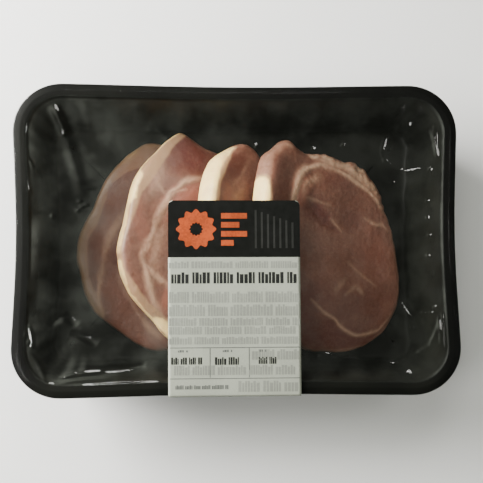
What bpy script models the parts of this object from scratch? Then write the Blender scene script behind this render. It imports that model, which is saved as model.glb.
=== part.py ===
"""Meat tray pack: a black fluted tray, four overlapping chops, a clear lid film and a label.

Lengths are in metres. +X runs along the tray, +Y to its back edge, +Z up, and the tray stands on z = 0.
Each chop is drawn flat first, as a closed outline of (across, along) sizes from its fat rim, and is then bent
along X over the chop before it, so that every chop leans on the last one.
"""
import math

import bpy
import numpy as np

MM = 0.001

# ---- tray ----
TRAY_LENGTH = 235.0 * MM
TRAY_WIDTH = 164.0 * MM
TRAY_HEIGHT = 48.0 * MM
CORNER_RADIUS = 26.5 * MM
END_BOW = 2.6 * MM
SIDE_BOW = 1.6 * MM
FLOOR_TOP = 1.2 * MM
FLUTES_LONG = 10
FLUTES_SHORT = 6
FLUTES_CORNER = 2
FLUTE_STEPS = 4
FLUTE_DEPTH = 1.3 * MM

# (inset from the outer edge, height, share of the flute depth) for the upper skin and the under skin
UPPER_SKIN = (
    (17.6, 1.2, 0.0),
    (16.2, 2.6, 0.3),
    (13.4, 14.0, 1.0),
    (10.8, 31.0, 1.0),
    (8.0, 45.4, 0.3),
    (6.6, 48.0, 0.0),
    (1.0, 48.0, 0.0),
    (0.0, 47.0, 0.0),
)
UNDER_SKIN = (
    (0.0, 44.4, 0.0),
    (0.8, 44.4, 0.0),
    (1.4, 47.1, 0.0),
    (5.9, 47.1, 0.0),
    (7.2, 45.0, 0.3),
    (10.0, 30.8, 1.0),
    (12.6, 13.8, 1.0),
    (15.6, 1.6, 0.3),
    (17.9, 0.0, 0.0),
)

# ---- film ----
FILM_INSET = 0.7 * MM
FILM_THICK = 0.3 * MM
SKIN_GAP = 0.3 * MM
FILM_STEPS = 18

# ---- label ----
LABEL_HALF_WIDTH = 34.3 * MM
LABEL_MIDDLE_X = -2.1 * MM
LABEL_TOP_Y = 20.0 * MM
LABEL_FOLD_Y = -80.1 * MM
LABEL_BEND_RADIUS = 1.2 * MM
LABEL_DROP = 6.0 * MM
LABEL_CORNER = 2.6 * MM
LABEL_THICK = 0.3 * MM

# ---- chops ----
LEAN_PITCH = 10.0 * MM
PROFILE_STEP = 0.25 * MM
PROFILE_BLEND = 25
HUB_ACROSS = 44.0 * MM
AROUND = 36
RING_FRACTIONS = (0.45, 0.78, 0.92, 0.975, 0.996)
EDGE_POWER = 18.0
EDGE_ROUND = 3.0
DROOP_START = 26.0 * MM
DROOP_END = 62.0 * MM
DROOP_SHARE = 0.2

CHOPS = (
    {
        "name": "chop_1",
        "rim_x": -88.0,
        "rim_z": 11.1,
        "leans": (8, 4, 1, 0, 0, 2, 5, 9, 9, 4),
        "thick": (13.6, 13.0, 8.5),
        "back_swell": 0.0,
        "outline": (
            (1, -6), (2, 3), (6, 13), (10, 20), (13, 28), (17, 36), (24, 45), (31, 51.5), (40, 56.5), (54, 53.5),
            (68, 44), (77, 28), (82, 6), (82, -18), (77, -38), (66, -53), (49, -59), (38, -57), (27, -50),
            (17, -42.5), (11, -37.5), (6, -28), (2.5, -15),
        ),
        "colour": (0.42, 0.21, 0.15, 1.0),
    },
    {
        "name": "chop_2",
        "rim_x": -63.5,
        "rim_z": 28.9,
        "leans": (21, 13, 6, 4, 9, 18, 29, 33, 22, 5),
        "thick": (14.2, 13.0, 8.5),
        "back_swell": 0.0,
        "outline": (
            (0, -6), (1, 2), (3.5, 11), (5.5, 21), (8, 31), (11, 38), (14.5, 43), (20, 49), (28, 57), (35, 60.5),
            (46, 53), (60, 47), (73, 34), (80, 14), (82, -10), (79, -32), (68, -48), (52, -57), (36, -56.5),
            (25, -50), (18, -41), (11, -33.5), (6, -26.5), (2, -17),
        ),
        "colour": (0.60, 0.31, 0.25, 1.0),
    },
    {
        "name": "chop_3",
        "rim_x": -18.5,
        "rim_z": 43.9,
        "leans": (55, 40, 30, 32, 33, 28, 20, 13, 6, -1),
        "thick": (14.6, 12.8, 8.5),
        "back_swell": 0.12,
        "outline": (
            (0, 2), (2, 20), (5, 34), (10, 44), (18, 50), (27, 54), (33, 52), (39, 47), (52, 46), (66, 41),
            (77, 27), (83, 6), (84, -18), (79, -38), (67, -52), (50, -58), (32, -55), (17, -44), (7, -30),
            (1, -14),
        ),
        "colour": (0.62, 0.36, 0.28, 1.0),
    },
    {
        "name": "chop_4",
        "rim_x": 10.5,
        "rim_z": 43.8,
        "leans": (54, 43, 32, 24, 21, 21, 22, 20, 13, 4),
        "thick": (14.6, 13.0, 9.2),
        "back_swell": 0.0,
        "outline": (
            (0, 2), (2, 20), (5, 36), (9, 46), (15, 51), (22, 56), (28, 52), (35, 49), (48, 49), (57, 46),
            (70, 43), (79, 31), (86, 14), (91, -10), (92, -27), (89, -39), (80, -51), (64, -59), (47, -60),
            (33, -58), (19, -48), (8, -34), (2, -16),
        ),
        "colour": (0.46, 0.22, 0.16, 1.0),
    },
)

TRAY_COLOUR = (0.018, 0.020, 0.019, 1.0)
FILM_COLOUR = (0.85, 0.88, 0.88, 0.2)
LABEL_COLOUR = (0.58, 0.60, 0.56, 1.0)


def material(name, colour, roughness):
    """A plain material; a fourth colour value under one makes it see-through."""
    mat = bpy.data.materials.new(name)
    mat.use_nodes = True
    node = mat.node_tree.nodes["Principled BSDF"]
    node.inputs["Base Color"].default_value = (colour[0], colour[1], colour[2], 1.0)
    node.inputs["Roughness"].default_value = roughness
    node.inputs["Metallic"].default_value = 0.0
    node.inputs["Alpha"].default_value = colour[3]
    mat.diffuse_color = colour
    return mat


def add_solid(name, points, faces, mat):
    """A named mesh object from points and faces, shaded smooth by angle."""
    mesh = bpy.data.meshes.new(name)
    mesh.from_pydata([tuple(p) for p in points], [], faces)
    mesh.materials.append(mat)
    mesh.shade_smooth()
    mesh.set_sharp_from_angle(angle=math.radians(50.0))
    mesh.validate()
    mesh.update()
    ob = bpy.data.objects.new(name, mesh)
    bpy.context.collection.objects.link(ob)
    return ob


def bridge(first, second, count):
    """Quads between two closed rings of count points that start at these indices."""
    faces = []
    for i in range(count):
        j = (i + 1) % count
        faces.append((first + i, first + j, second + j, second + i))
    return faces


def fan(centre, first, count, flip):
    """Triangles from a centre point to a closed ring."""
    faces = []
    for i in range(count):
        j = (i + 1) % count
        if flip:
            faces.append((centre, first + j, first + i))
        else:
            faces.append((centre, first + i, first + j))
    return faces


def ring_plan(inset, long_steps, short_steps, corner_steps, flute):
    """One closed ring of the tray in plan, anticlockwise, with its corners, bowed sides and flutes."""
    half_x = TRAY_LENGTH / 2.0 - inset
    half_y = TRAY_WIDTH / 2.0 - inset
    radius = CORNER_RADIUS - inset
    flat_x = TRAY_LENGTH / 2.0 - CORNER_RADIUS
    flat_y = TRAY_WIDTH / 2.0 - CORNER_RADIUS
    points = []
    normals = []
    runs = (
        ((half_x, -flat_y), (half_x, flat_y), short_steps),
        ((flat_x, half_y), (-flat_x, half_y), long_steps),
        ((-half_x, flat_y), (-half_x, -flat_y), short_steps),
        ((-flat_x, -half_y), (flat_x, -half_y), long_steps),
    )
    hubs = ((flat_x, flat_y), (-flat_x, flat_y), (-flat_x, -flat_y), (flat_x, -flat_y))
    for side in range(4):
        start, end, steps = runs[side]
        outward = math.radians(90.0 * side)
        for k in range(steps):
            f = k / steps
            points.append((start[0] + (end[0] - start[0]) * f, start[1] + (end[1] - start[1]) * f))
            normals.append((math.cos(outward), math.sin(outward)))
        for k in range(corner_steps):
            turn = outward + math.radians(90.0) * k / corner_steps
            points.append((hubs[side][0] + radius * math.cos(turn), hubs[side][1] + radius * math.sin(turn)))
            normals.append((math.cos(turn), math.sin(turn)))
    plan = np.array(points)
    out = np.array(normals)
    wave = 0.5 - 0.5 * np.cos(2.0 * math.pi * np.arange(len(plan)) / FLUTE_STEPS)
    plan = plan - out * (flute * wave)[:, None]
    share_x = np.cos(0.5 * math.pi * np.clip(plan[:, 1] / (TRAY_WIDTH / 2.0), -1.0, 1.0)) ** 2
    share_y = np.cos(0.5 * math.pi * np.clip(plan[:, 0] / (TRAY_LENGTH / 2.0), -1.0, 1.0)) ** 2
    plan[:, 0] -= END_BOW * share_x * out[:, 0]
    plan[:, 1] -= SIDE_BOW * share_y * out[:, 1]
    return plan


def build_tray(mat):
    """The tray: an upper skin and an under skin of rings, closed by a fan at each side of its floor."""
    steps = (FLUTES_LONG * FLUTE_STEPS, FLUTES_SHORT * FLUTE_STEPS, FLUTES_CORNER * FLUTE_STEPS)
    rings = []
    for inset, height, share in UPPER_SKIN + UNDER_SKIN:
        plan = ring_plan(inset * MM, steps[0], steps[1], steps[2], FLUTE_DEPTH * share)
        rings.append(np.column_stack([plan, np.full(len(plan), height * MM)]))
    count = len(rings[0])
    points = np.vstack(rings + [[(0.0, 0.0, FLOOR_TOP)], [(0.0, 0.0, 0.0)]])
    faces = []
    for k in range(len(rings) - 1):
        faces.extend(bridge((k + 1) * count, k * count, count))
    faces.extend(fan(len(rings) * count, 0, count, False))
    faces.extend(fan(len(rings) * count + 1, (len(rings) - 1) * count, count, True))
    return add_solid("tray", points, faces, mat)


def build_film(mat):
    """The lid film: a thin flat sheet that lies just over the rim all round."""
    plan = ring_plan(FILM_INSET, 16, 8, 6, 0.0)
    count = len(plan)
    low = TRAY_HEIGHT + SKIN_GAP
    high = low + FILM_THICK
    points = np.vstack([
        np.column_stack([plan, np.full(count, high)]),
        np.column_stack([plan, np.full(count, low)]),
        [(0.0, 0.0, high)],
        [(0.0, 0.0, low)],
    ])
    faces = bridge(count, 0, count)
    faces.extend(fan(2 * count, 0, count, False))
    faces.extend(fan(2 * count + 1, count, count, True))
    return add_solid("film", points, faces, mat)


def label_path():
    """The label's middle line as (y, z, turn) from its top edge over the front of the rim."""
    level = TRAY_HEIGHT + 2.0 * SKIN_GAP + FILM_THICK + LABEL_THICK / 2.0
    stations = []
    for back in (0.0, 0.35, 0.9, 1.6, 2.6):
        stations.append((LABEL_TOP_Y - back * MM, level, 0.0))
    for y in (0.0, -27.0 * MM, -54.0 * MM):
        stations.append((y, level, 0.0))
    hub_z = level - LABEL_BEND_RADIUS
    for k in range(7):
        turn = math.radians(15.0 * k)
        y = LABEL_FOLD_Y - LABEL_BEND_RADIUS * math.sin(turn)
        stations.append((y, hub_z + LABEL_BEND_RADIUS * math.cos(turn), turn))
    stations.append((LABEL_FOLD_Y - LABEL_BEND_RADIUS, level - LABEL_DROP, math.radians(90.0)))
    return stations


def build_label(mat):
    """The label: a thin strip along its path, with two rounded corners at the top edge."""
    points = []
    travelled = 0.0
    last = None
    for y, z, turn in label_path():
        if last is not None:
            travelled += math.hypot(y - last[0], z - last[1])
        last = (y, z)
        half = LABEL_HALF_WIDTH
        if travelled < LABEL_CORNER:
            half -= LABEL_CORNER - math.sqrt(LABEL_CORNER ** 2 - (LABEL_CORNER - travelled) ** 2)
        dy = -math.sin(turn) * LABEL_THICK / 2.0
        dz = math.cos(turn) * LABEL_THICK / 2.0
        left = LABEL_MIDDLE_X - half
        right = LABEL_MIDDLE_X + half
        points.append((left, y + dy, z + dz))
        points.append((right, y + dy, z + dz))
        points.append((right, y - dy, z - dz))
        points.append((left, y - dy, z - dz))
    rows = len(points) // 4
    faces = [(0, 1, 2, 3)]
    for k in range(rows - 1):
        faces.extend(bridge((k + 1) * 4, k * 4, 4))
    top = (rows - 1) * 4
    faces.append((top + 3, top + 2, top + 1, top))
    return add_solid("label", points, faces, mat)


def bent_profile(chop):
    """The chop's middle line along X: distance from the rim, x, z and lean, from the leans at each pitch."""
    across = np.arange(-4.0 * MM, 96.0 * MM, PROFILE_STEP)
    lean = np.radians(np.interp(across, LEAN_PITCH * np.arange(len(chop["leans"])), chop["leans"]))
    pad = PROFILE_BLEND // 2
    lean = np.convolve(np.pad(lean, pad, mode="edge"), np.ones(PROFILE_BLEND) / PROFILE_BLEND, mode="valid")
    middle = 0.5 * (lean[1:] + lean[:-1])
    x = np.concatenate([[0.0], np.cumsum(np.cos(middle) * PROFILE_STEP)])
    z = -np.concatenate([[0.0], np.cumsum(np.sin(middle) * PROFILE_STEP)])
    x += chop["rim_x"] * MM - np.interp(0.0, across, x)
    z += chop["rim_z"] * MM - np.interp(0.0, across, z)
    return across, x, z, lean


def closed_curve(knots, count):
    """A smooth closed curve through the knots, as count points spread evenly by their turn about the hub."""
    base = np.array(knots, dtype=float) * MM
    before = np.roll(base, 1, axis=0)
    after = np.roll(base, -1, axis=0)
    beyond = np.roll(base, -2, axis=0)
    t = np.linspace(0.0, 1.0, 12, endpoint=False)[:, None, None]
    curve = 0.5 * (
        2.0 * base
        + (after - before) * t
        + (2.0 * before - 5.0 * base + 4.0 * after - beyond) * t ** 2
        + (3.0 * base - before - 3.0 * after + beyond) * t ** 3
    )
    dense = np.transpose(curve, (1, 0, 2)).reshape(-1, 2)
    turn = np.unwrap(np.arctan2(dense[:, 1], dense[:, 0] - HUB_ACROSS))
    radius = np.hypot(dense[:, 1], dense[:, 0] - HUB_ACROSS)
    if turn[-1] < turn[0]:
        turn = turn[::-1]
        radius = radius[::-1]
    wanted = np.linspace(0.0, 2.0 * math.pi, count, endpoint=False)
    reach = np.interp(wanted, turn, radius, period=2.0 * math.pi)
    return wanted, reach


def bend_points(chop, profile, across, along, lift):
    """Points at (across, along) of the flat chop, lifted off its middle line, bent and let droop at the ends."""
    dist, line_x, line_z, lean = profile
    x = np.interp(across, dist, line_x)
    z = np.interp(across, dist, line_z)
    angle = np.interp(across, dist, lean)
    x = x + lift * np.sin(angle)
    z = z + lift * np.cos(angle)
    near_end = np.clip((np.abs(along) - DROOP_START) / (DROOP_END - DROOP_START), 0.0, 1.0)
    sag = 1.0 - DROOP_SHARE * near_end ** 2 * (3.0 - 2.0 * near_end)
    z = FLOOR_TOP + (z - FLOOR_TOP) * sag
    return np.column_stack([x, along, z])


def build_chop(chop, mat):
    """One chop: rings from the hub out to its edge on both faces, sharing the edge ring."""
    profile = bent_profile(chop)
    turn, reach = closed_curve(chop["outline"], AROUND)
    width = float(np.max(HUB_ACROSS + reach * np.cos(turn)))
    rim, middle, end = [value * MM for value in chop["thick"]]
    stations = np.array([0.0, 0.18, 0.5, 0.8, 1.0]) * width
    depths = np.array([rim, rim, middle, 0.55 * middle + 0.45 * end, end])

    def half_depth(across, along, fraction):
        """Half the thickness at a place on the flat chop, rounded off towards the edge."""
        swell = 1.0 + chop["back_swell"] * np.clip(along / DROOP_END, 0.0, 1.0)
        full = np.interp(across, stations, depths) * swell
        return 0.5 * full * (1.0 - fraction ** EDGE_POWER) ** (1.0 / EDGE_ROUND)

    points = []
    for side in (1.0, -1.0):
        for fraction in RING_FRACTIONS:
            across = HUB_ACROSS + fraction * reach * np.cos(turn)
            along = fraction * reach * np.sin(turn)
            lift = side * half_depth(across, along, fraction)
            points.append(bend_points(chop, profile, across, along, lift))
    edge_across = HUB_ACROSS + reach * np.cos(turn)
    edge_along = reach * np.sin(turn)
    points.append(bend_points(chop, profile, edge_across, edge_along, np.zeros(AROUND)))
    hub = np.array([HUB_ACROSS])
    depth = half_depth(hub, np.zeros(1), np.zeros(1))
    points.append(bend_points(chop, profile, hub, np.zeros(1), depth))
    points.append(bend_points(chop, profile, hub, np.zeros(1), -depth))
    rings = len(RING_FRACTIONS)
    edge = 2 * rings * AROUND
    top_hub = edge + AROUND
    faces = fan(top_hub, 0, AROUND, False)
    faces.extend(fan(top_hub + 1, rings * AROUND, AROUND, True))
    for k in range(rings - 1):
        faces.extend(bridge((k + 1) * AROUND, k * AROUND, AROUND))
        low = (rings + k) * AROUND
        faces.extend(bridge(low, low + AROUND, AROUND))
    faces.extend(bridge(edge, (rings - 1) * AROUND, AROUND))
    faces.extend(bridge((2 * rings - 1) * AROUND, edge, AROUND))
    return add_solid(chop["name"], np.vstack(points), faces, mat)


def build():
    """Clear the scene and build every solid."""
    for ob in list(bpy.data.objects):
        bpy.data.objects.remove(ob, do_unlink=True)
    build_tray(material("tray", TRAY_COLOUR, 0.25))
    for chop in CHOPS:
        build_chop(chop, material(chop["name"], chop["colour"], 0.45))
    build_film(material("film", FILM_COLOUR, 0.08))
    build_label(material("label", LABEL_COLOUR, 0.5))


build()
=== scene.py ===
"""Meat tray pack: a black fluted tray, a clear lid film, four overlapping chops and a plain label.

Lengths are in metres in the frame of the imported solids: +X along the tray, +Y to its back edge, +Z up.
"""
import logging
import math
from dataclasses import dataclass
from enum import Enum

import bpy
import numpy as np
from mathutils import Matrix, Vector


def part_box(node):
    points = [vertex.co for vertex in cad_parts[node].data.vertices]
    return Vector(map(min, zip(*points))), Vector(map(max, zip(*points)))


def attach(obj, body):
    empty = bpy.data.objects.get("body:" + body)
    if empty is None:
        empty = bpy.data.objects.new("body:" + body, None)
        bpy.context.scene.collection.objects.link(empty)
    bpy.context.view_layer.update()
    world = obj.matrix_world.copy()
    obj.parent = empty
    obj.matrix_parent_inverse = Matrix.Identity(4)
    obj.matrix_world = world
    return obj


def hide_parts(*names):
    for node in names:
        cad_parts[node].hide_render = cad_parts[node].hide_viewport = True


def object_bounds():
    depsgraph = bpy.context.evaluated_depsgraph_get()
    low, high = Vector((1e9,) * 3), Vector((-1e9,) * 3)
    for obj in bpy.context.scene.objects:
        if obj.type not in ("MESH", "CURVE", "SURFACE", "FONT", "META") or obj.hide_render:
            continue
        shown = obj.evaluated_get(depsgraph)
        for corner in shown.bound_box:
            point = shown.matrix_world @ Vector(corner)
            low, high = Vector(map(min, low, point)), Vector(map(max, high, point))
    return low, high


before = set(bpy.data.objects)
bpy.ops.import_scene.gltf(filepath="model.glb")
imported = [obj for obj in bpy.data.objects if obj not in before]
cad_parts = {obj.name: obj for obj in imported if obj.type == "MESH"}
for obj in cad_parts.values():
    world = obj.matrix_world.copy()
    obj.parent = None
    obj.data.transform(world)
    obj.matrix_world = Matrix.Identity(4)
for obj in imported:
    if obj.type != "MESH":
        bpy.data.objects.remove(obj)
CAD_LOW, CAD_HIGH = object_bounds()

LOG = logging.getLogger("meat_tray_pack")
MM = 0.001
BODY = "root"


class Slot(Enum):
    """Material slot names, kept on each piece."""

    TRAY = "tray"
    FILM = "film"
    LABEL = "label"
    MEAT = "meat"


class Mask(Enum):
    """The shares that a chop's mesh carries for its finish, each from 0 to 1."""

    FAT = "fat"
    SINEW = "sinew"
    # darker meat, and painted shade over the top of chop_2
    DEEP_AND_SHADE = "deep_and_shade"
    # blushed meat, and painted light on a ridge of chop_4
    BLUSH_AND_LIGHT = "blush_and_light"


# ---------------------------------------------------------------- numbers on grids


def ease(value: np.ndarray) -> np.ndarray:
    """Smooth step: clips to 0..1 and eases with 3t^2 - 2t^3."""
    t = np.clip(value, 0.0, 1.0)
    return t * t * (3.0 - 2.0 * t)


def lattice_noise(x: np.ndarray, y: np.ndarray, cell: float, seed: int) -> np.ndarray:
    """Random numbers on a square lattice, blended in between with the smooth step.

    Args:
        x: First coordinate of each place.
        y: Second coordinate of each place.
        cell: Size of a lattice cell, in the same unit.
        seed: Seed of the random numbers.

    Returns:
        A value from -1 to 1 at each place.
    """
    side = 64
    table = np.random.default_rng(seed).uniform(-1.0, 1.0, (side, side))
    column = np.floor(x / cell).astype(int)
    row = np.floor(y / cell).astype(int)
    u = ease(x / cell - column)
    v = ease(y / cell - row)
    here = table[column % side, row % side]
    right = table[(column + 1) % side, row % side]
    above = table[column % side, (row + 1) % side]
    corner = table[(column + 1) % side, (row + 1) % side]
    return (here * (1.0 - u) + right * u) * (1.0 - v) + (above * (1.0 - u) + corner * u) * v


def layered_noise(x: np.ndarray, y: np.ndarray, cell: float, seed: int, layers: int = 3) -> np.ndarray:
    """Lattice noise in layers, each half as large and half as strong as the one before.

    Args:
        x: First coordinate of each place.
        y: Second coordinate of each place.
        cell: Cell size of the first layer.
        seed: Seed of the first layer.
        layers: Number of layers.

    Returns:
        The sum of the layers at each place.
    """
    total = np.zeros(np.broadcast(x, y).shape)
    for k in range(layers):
        total = total + lattice_noise(x, y, cell * 0.5 ** k, seed + k) * 0.5 ** k
    return total


def curve_through(knots: tuple, per_span: int = 8, closed: bool = False) -> np.ndarray:
    """A smooth curve through the knots: a Catmull-Rom cubic on each span.

    Args:
        knots: The (x, y) places that the curve passes.
        per_span: Points on each span.
        closed: Whether the last knot joins the first.

    Returns:
        The curve's points as an array of (x, y).
    """
    base = np.array(knots, dtype=float)
    if closed:
        before = np.roll(base, 1, axis=0)
        after = np.roll(base, -1, axis=0)
        beyond = np.roll(base, -2, axis=0)
    else:
        padded = np.vstack([2.0 * base[0] - base[1], base, 2.0 * base[-1] - base[-2]])
        before = padded[:-3]
        after = padded[2:-1]
        beyond = padded[3:]
        base = padded[1:-2]
    t = np.linspace(0.0, 1.0, per_span, endpoint=False)[:, None, None]
    curve = 0.5 * (
        2.0 * base
        + (after - before) * t
        + (2.0 * before - 5.0 * base + 4.0 * after - beyond) * t ** 2
        + (3.0 * base - before - 3.0 * after + beyond) * t ** 3
    )
    dense = np.transpose(curve, (1, 0, 2)).reshape(-1, 2)
    if closed:
        return dense
    return np.vstack([dense, np.array(knots[-1], dtype=float)])


def distance_to(line: np.ndarray, x: np.ndarray, y: np.ndarray) -> tuple[np.ndarray, np.ndarray]:
    """The nearest distance to a line of straight pieces, and where along it that is.

    Args:
        line: The line's points.
        x: First coordinate of each place.
        y: Second coordinate of each place.

    Returns:
        The distance, and the share of the line's length at the nearest place, from 0 to 1.
    """
    steps = np.diff(line, axis=0)
    lengths = np.hypot(steps[:, 0], steps[:, 1])
    starts = np.concatenate([[0.0], np.cumsum(lengths)])
    best = np.full(x.shape, np.inf)
    share = np.zeros(x.shape)
    for k, (dx, dy) in enumerate(steps):
        square = max(dx * dx + dy * dy, 1e-12)
        t = np.clip(((x - line[k, 0]) * dx + (y - line[k, 1]) * dy) / square, 0.0, 1.0)
        away = np.hypot(x - line[k, 0] - t * dx, y - line[k, 1] - t * dy)
        nearer = away < best
        best = np.where(nearer, away, best)
        share = np.where(nearer, (starts[k] + t * lengths[k]) / starts[-1], share)
    return best, share


# ---------------------------------------------------------------- meshes


def grid_faces(rows: int, columns: int, around: bool, first: int = 0) -> np.ndarray:
    """Quads of a grid whose points run row by row.

    Args:
        rows: Number of rows of points.
        columns: Number of points in a row.
        around: Whether the last column joins the first.
        first: Index of the grid's first point.

    Returns:
        An array of four indices for each quad; rows going down and columns going right face up.
    """
    last = columns if around else columns - 1
    row, column = np.meshgrid(np.arange(rows - 1), np.arange(last), indexing="ij")
    right = (column + 1) % columns
    a = row * columns + column
    b = row * columns + right
    return first + np.stack([a, a + columns, b + columns, b], axis=-1).reshape(-1, 4)


def fan_faces(hub: int, ring: np.ndarray, flip: bool) -> np.ndarray:
    """Triangles from a hub point to a closed ring of points, turned over where flip is set."""
    after = np.roll(ring, -1)
    hubs = np.full(len(ring), hub)
    if flip:
        return np.stack([hubs, after, ring], axis=-1)
    return np.stack([hubs, ring, after], axis=-1)


@dataclass
class Piece:
    """A visible piece: its name, its finish, its slot and the solids that it stands for."""

    name: str
    slot: Slot
    material: bpy.types.Material
    replaces: tuple[str, ...] = ()

    def make(self, points: np.ndarray, quads: np.ndarray, triangles: np.ndarray | None = None) -> bpy.types.Object:
        """Makes the mesh object and ties it to the frame.

        Args:
            points: The mesh's points.
            quads: Four point indices for each quad.
            triangles: Three point indices for each triangle.

        Returns:
            The finished object, at the origin, with its place in its mesh.
        """
        faces = quads.tolist()
        if triangles is not None:
            faces = faces + triangles.tolist()
        mesh = bpy.data.meshes.new(self.name)
        mesh.from_pydata(points.tolist(), [], faces)
        mesh.materials.append(self.material)
        mesh.shade_smooth()
        mesh.update()
        ob = bpy.data.objects.new(self.name, mesh)
        bpy.context.scene.collection.objects.link(ob)
        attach(ob, BODY)
        if self.replaces:
            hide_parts(*self.replaces)
        LOG.info("%s: %d points, %d faces", self.name, len(points), len(faces))
        return ob


def add_share(ob: bpy.types.Object, name: str, values: np.ndarray) -> None:
    """Stores one number per point on a mesh, for its finish to read."""
    attribute = ob.data.attributes.new(name, "FLOAT", "POINT")
    attribute.data.foreach_set("value", np.clip(values, 0.0, 1.0).astype(np.float32))


# ---------------------------------------------------------------- finishes


class Graph:
    """A material's nodes, added and joined with short calls."""

    def __init__(self, name: str) -> None:
        """Starts an empty material."""
        self.material = bpy.data.materials.new(name)
        self.material.use_nodes = True
        self.tree = self.material.node_tree
        self.tree.nodes.clear()

    def feed(self, socket: bpy.types.NodeSocket, value: object) -> None:
        """Joins another socket to this one, or sets its own value."""
        if isinstance(value, bpy.types.NodeSocket):
            self.tree.links.new(value, socket)
        elif isinstance(value, tuple) and len(value) == 3 and socket.type == "RGBA":
            socket.default_value = (*value, 1.0)
        else:
            socket.default_value = value

    def add(self, kind: str, settings: dict | None = None, **inputs: object) -> bpy.types.Node:
        """Adds a node.

        Args:
            kind: The node's type.
            settings: Properties of the node.
            **inputs: Values or sockets, by input name with underscores for spaces.

        Returns:
            The node.
        """
        node = self.tree.nodes.new(kind)
        for key, value in (settings or {}).items():
            setattr(node, key, value)
        for key, value in inputs.items():
            self.feed(node.inputs[key.replace("_", " ")], value)
        return node

    def place(self) -> bpy.types.NodeSocket:
        """The place on the piece, in its own coordinates."""
        return self.add("ShaderNodeTexCoord").outputs["Object"]

    def share(self, mask: str) -> bpy.types.NodeSocket:
        """A number that the mesh carries."""
        return self.add("ShaderNodeAttribute", {"attribute_name": mask}).outputs["Fac"]

    def noise(self, scale: float, detail: float = 3.0, rough: float = 0.55,
              where: bpy.types.NodeSocket | None = None) -> bpy.types.NodeSocket:
        """Fractal noise on the piece's own coordinates.

        Args:
            scale: Cells per metre.
            detail: Number of finer layers.
            rough: Strength of the finer layers.
            where: Other coordinates to read.

        Returns:
            The noise, about 0.5.
        """
        node = self.add("ShaderNodeTexNoise", Scale=scale, Detail=detail, Roughness=rough)
        self.feed(node.inputs["Vector"], where or self.place())
        return node.outputs["Fac"]

    def math(self, operation: str, first: object, second: object = 0.0) -> bpy.types.NodeSocket:
        """A sum, product or other operation on two numbers."""
        node = self.add("ShaderNodeMath", {"operation": operation})
        self.feed(node.inputs[0], first)
        self.feed(node.inputs[1], second)
        return node.outputs[0]

    def ramp(self, value: bpy.types.NodeSocket, low: float, high: float,
             start: float = 0.0, end: float = 1.0) -> bpy.types.NodeSocket:
        """Carries a number from low..high over to start..end, eased.

        Args:
            value: The number.
            low: Where the ramp begins.
            high: Where it ends.
            start: Result below low.
            end: Result above high.

        Returns:
            The new number.
        """
        node = self.add("ShaderNodeMapRange", {"interpolation_type": "SMOOTHSTEP"})
        for key, number in zip(range(5), (value, low, high, start, end)):
            self.feed(node.inputs[key], number)
        return node.outputs[0]

    def mix(self, factor: object, first: object, second: object) -> bpy.types.NodeSocket:
        """A colour between two colours."""
        node = self.add("ShaderNodeMix", {"data_type": "RGBA"})
        self.feed(node.inputs[0], factor)
        self.feed(node.inputs[6], first)
        self.feed(node.inputs[7], second)
        return node.outputs[2]

    def bump(self, height: bpy.types.NodeSocket, distance: float, strength: float = 1.0) -> bpy.types.NodeSocket:
        """A normal from a height, with the height's full range as a distance in metres."""
        return self.add("ShaderNodeBump", Strength=strength, Distance=distance, Height=height).outputs["Normal"]

    def finish(self, shader: bpy.types.NodeSocket) -> bpy.types.Material:
        """Joins the shader to the material's output."""
        self.add("ShaderNodeOutputMaterial", Surface=shader)
        return self.material


@dataclass(frozen=True)
class TrayFinish:
    """Deep black moulded plastic: a satin gloss that varies a little, a fine skin texture, and painted shade on the
    flange.
    """

    light: tuple[float, float, float] = (0.0075, 0.0080, 0.0062)
    dark: tuple[float, float, float] = (0.0040, 0.0043, 0.0034)
    # colour of the painted shade on the flange
    rim: tuple[float, float, float] = (0.0016, 0.0017, 0.0014)
    roughness: tuple[float, float] = (0.40, 0.50)
    gloss: float = 0.08
    rim_roughness: float = 0.12
    skin: float = 0.00001

    def build(self) -> bpy.types.Material:
        """Makes the material."""
        g = Graph("tray_plastic")
        cloud = g.noise(28.0, 2.0)
        colour = g.mix(g.ramp(cloud, 0.35, 0.65), self.dark, self.light)
        # painted shade on the flange: the mesh's share of it, broken up a little by noise
        rim = g.math("MULTIPLY", g.share("rim"), g.ramp(g.noise(120.0, 3.0), 0.25, 0.7, 0.8, 1.0))
        colour = g.mix(rim, colour, self.rim)
        rough = g.ramp(g.noise(60.0, 3.0), 0.3, 0.7, self.roughness[0], self.roughness[1])
        rough = g.math("ADD", rough, g.math("MULTIPLY", rim, self.rim_roughness))
        normal = g.bump(g.noise(900.0, 2.0), self.skin)
        shader = g.add("ShaderNodeBsdfPrincipled", Base_Color=colour, Roughness=rough, Normal=normal,
                       Specular_IOR_Level=self.gloss)
        return g.finish(shader.outputs[0])


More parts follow.
